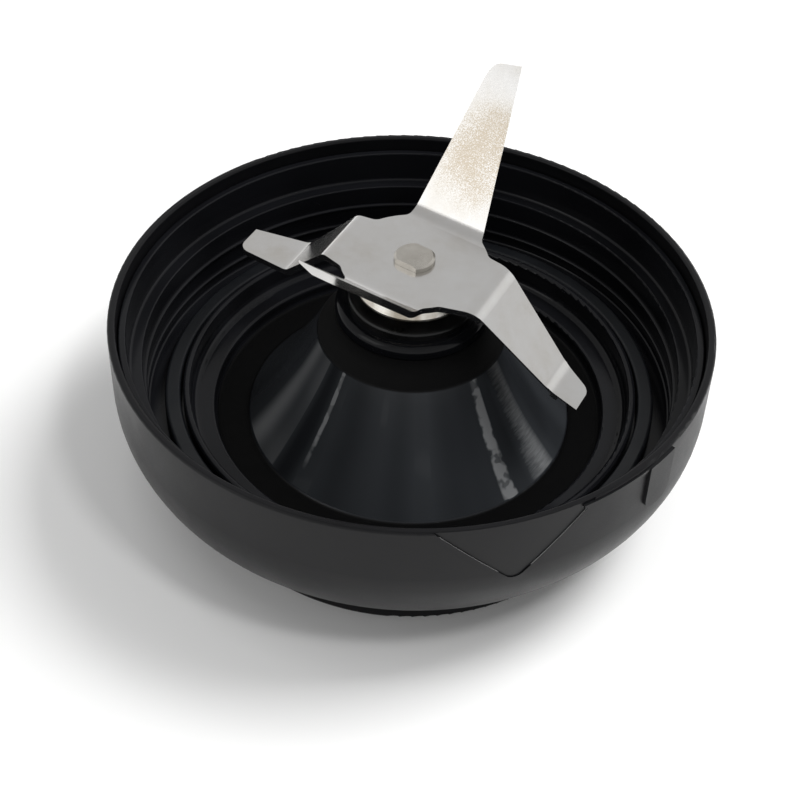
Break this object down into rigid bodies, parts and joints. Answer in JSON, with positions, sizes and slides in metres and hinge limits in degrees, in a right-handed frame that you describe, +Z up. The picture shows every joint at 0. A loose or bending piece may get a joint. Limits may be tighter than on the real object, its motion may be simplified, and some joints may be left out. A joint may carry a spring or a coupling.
{
  "type": "blender blade assembly",
  "caption": "Round black blender blade base: a bowl-shaped shell, a gloss cup with a central cone, and a bent steel cross blade on a sealed bearing spindle with a finned drive coupling.",
  "frame": {"origin": "on the spindle axis at the plane that the foot ring stands on", "axes": "+Z up along the spindle from the foot towards the blade; +X to the right and +Y away in the picture's view"},
  "size_m": [0.11, 0.11, 0.0723],
  "materials": {
    "outer_shell": "fine satin moulding",
    "inner_cup": "polished moulding",
    "sealing_gasket": "smooth",
    "bearing_sleeve": "turned",
    "bearing_retaining_ring": "oiled spring steel",
    "shaft_seal": "smooth",
    "seal_garter_spring": "drawn wire",
    "upper_bearing_outer_ring": "ground",
    "lower_bearing_outer_ring": "ground",
    "upper_bearing_shields": "pressed sheet",
    "lower_bearing_shields": "pressed sheet",
    "blade": "satin",
    "spindle": "turned",
    "blade_collar": "turned",
    "upper_bearing_inner_ring": "ground",
    "lower_bearing_inner_ring": "ground",
    "bearing_spacer": "turned",
    "thrust_washer": "stamped",
    "shaft_clip": "oiled spring steel",
    "drive_coupling": "moulded",
    "coupling_insert": "turned",
    "upper_bearing_balls": "polished",
    "upper_bearing_cage": "moulded nylon",
    "lower_bearing_balls": "polished",
    "lower_bearing_cage": "moulded nylon"
  },
  "bodies": {
    "base": {"outer_shell": "outer_shell", "inner_cup": "inner_cup", "sealing_gasket": "sealing_gasket", "bearing_sleeve": "bearing_sleeve", "bearing_retaining_ring": "bearing_retaining_ring", "shaft_seal": "shaft_seal", "seal_garter_spring": "seal_garter_spring", "upper_bearing_outer_ring": "upper_bearing_outer_ring", "lower_bearing_outer_ring": "lower_bearing_outer_ring", "upper_bearing_shields": "upper_bearing_shields", "lower_bearing_shields": "lower_bearing_shields"},
    "rotor": {"blade": "blade", "spindle": "spindle", "blade_collar": "blade_collar", "upper_bearing_inner_ring": "upper_bearing_inner_ring", "lower_bearing_inner_ring": "lower_bearing_inner_ring", "bearing_spacer": "bearing_spacer", "thrust_washer": "thrust_washer", "shaft_clip": "shaft_clip", "drive_coupling": "drive_coupling", "coupling_insert": "coupling_insert"},
    "upper_ball_set": {"upper_bearing_balls": "upper_bearing_balls", "upper_bearing_cage": "upper_bearing_cage"},
    "lower_ball_set": {"lower_bearing_balls": "lower_bearing_balls", "lower_bearing_cage": "lower_bearing_cage"}
  },
  "joints": [
    {"name": "blade_spin", "type": "hinge", "parent": "base", "child": "rotor", "pos_m": [0, 0, 0.03], "axis": [0, 0, 1], "continuous": true},
    {"name": "upper_ball_orbit", "type": "hinge", "parent": "base", "child": "upper_ball_set", "pos_m": [0, 0, 0.0335], "axis": [0, 0, 1], "continuous": true},
    {"name": "lower_ball_orbit", "type": "hinge", "parent": "base", "child": "lower_ball_set", "pos_m": [0, 0, 0.0175], "axis": [0, 0, 1], "continuous": true}
  ],
  "couplings": [
    {"joint": "upper_ball_orbit", "follows": "blade_spin", "ratio": 0.368},
    {"joint": "lower_ball_orbit", "follows": "blade_spin", "ratio": 0.368}
  ]
}
